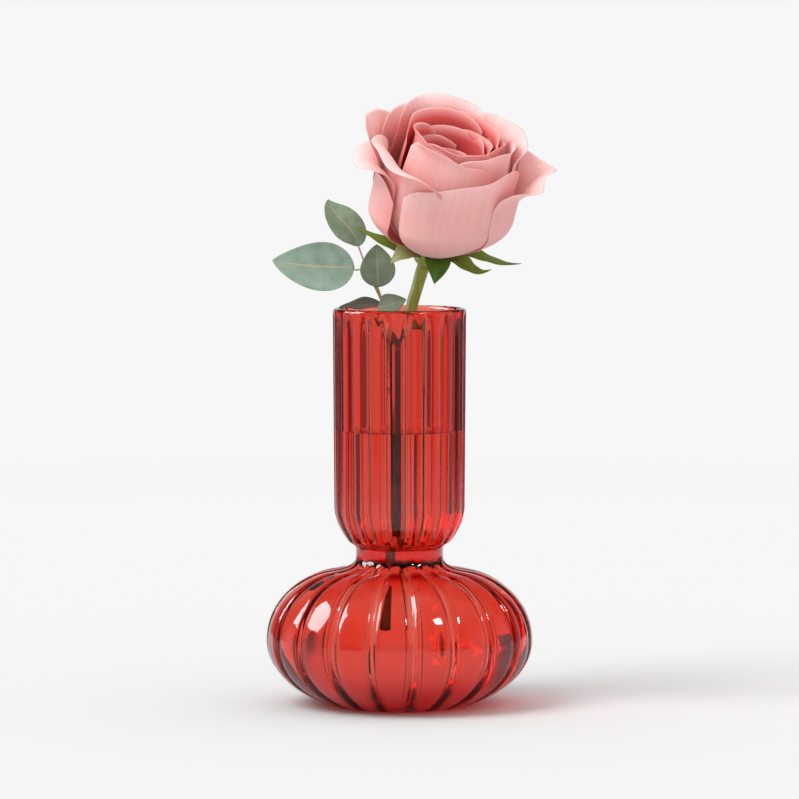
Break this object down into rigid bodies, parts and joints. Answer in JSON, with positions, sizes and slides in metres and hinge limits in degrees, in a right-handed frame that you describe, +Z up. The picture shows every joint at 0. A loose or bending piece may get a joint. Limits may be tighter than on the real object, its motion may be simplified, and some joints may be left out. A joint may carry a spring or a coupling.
{
  "type": "fluted glass bud vase with a rose and a eucalyptus sprig",
  "caption": "Fluted coral-red glass bud vase, a straight cup on a round bulb joined by a narrow waist, holding one pink rose and a eucalyptus sprig.",
  "frame": {"origin": "centre of the vase's foot, on the surface it stands on", "axes": "+Z up along the vase's axis, front towards -Y, +X to the viewer's right"},
  "size_m": [0.1355, 0.1204, 0.2727],
  "materials": {
    "coral_glass": "clear coral-red blown glass, fire polished",
    "twig_bark": "thin woody twig, smooth",
    "eucalyptus_leaf": "waxy grey-green leaf",
    "rose_green": "fresh green stem, satin",
    "sepal_green": "fresh green, satin",
    "water": "clear water",
    "rose_petal": "soft pink petal, velvety"
  },
  "bodies": {
    "vase": {"glass_vase": "coral_glass"},
    "sprig": {"leaf_centre": "eucalyptus_leaf", "leaf_left": "eucalyptus_leaf", "leaf_rim_left": "eucalyptus_leaf", "leaf_rim_right": "eucalyptus_leaf", "leaf_upper": "eucalyptus_leaf", "sprig_twig": "twig_bark"},
    "rose": {"petal_core_1": "rose_petal", "petal_core_2": "rose_petal", "petal_core_3": "rose_petal", "petal_core_4": "rose_petal", "petal_core_5": "rose_petal", "petal_inner_1": "rose_petal", "petal_inner_2": "rose_petal", "petal_inner_3": "rose_petal", "petal_inner_4": "rose_petal", "petal_inner_5": "rose_petal", "petal_middle_1": "rose_petal", "petal_middle_2": "rose_petal", "petal_middle_3": "rose_petal", "petal_middle_4": "rose_petal", "petal_middle_5": "rose_petal", "petal_outer_1": "rose_petal", "petal_outer_2": "rose_petal", "petal_outer_3": "rose_petal", "petal_outer_4": "rose_petal", "petal_outer_5": "rose_petal", "rose_heart": "rose_petal", "rose_hip": "sepal_green", "rose_stem": "rose_green", "sepal_front": "sepal_green", "sepal_left": "sepal_green", "sepal_lower_left": "sepal_green", "sepal_lower_right": "sepal_green", "sepal_right": "sepal_green"}
  },
  "joints": [
    {"name": "sprig_lift", "type": "slide", "parent": "vase", "child": "sprig", "axis": [0, 0, 1], "range_m": [0, 0.12]},
    {"name": "rose_lift", "type": "slide", "parent": "sprig", "child": "rose", "axis": [0, 0, 1], "range_m": [0, 0.18]}
  ]
}
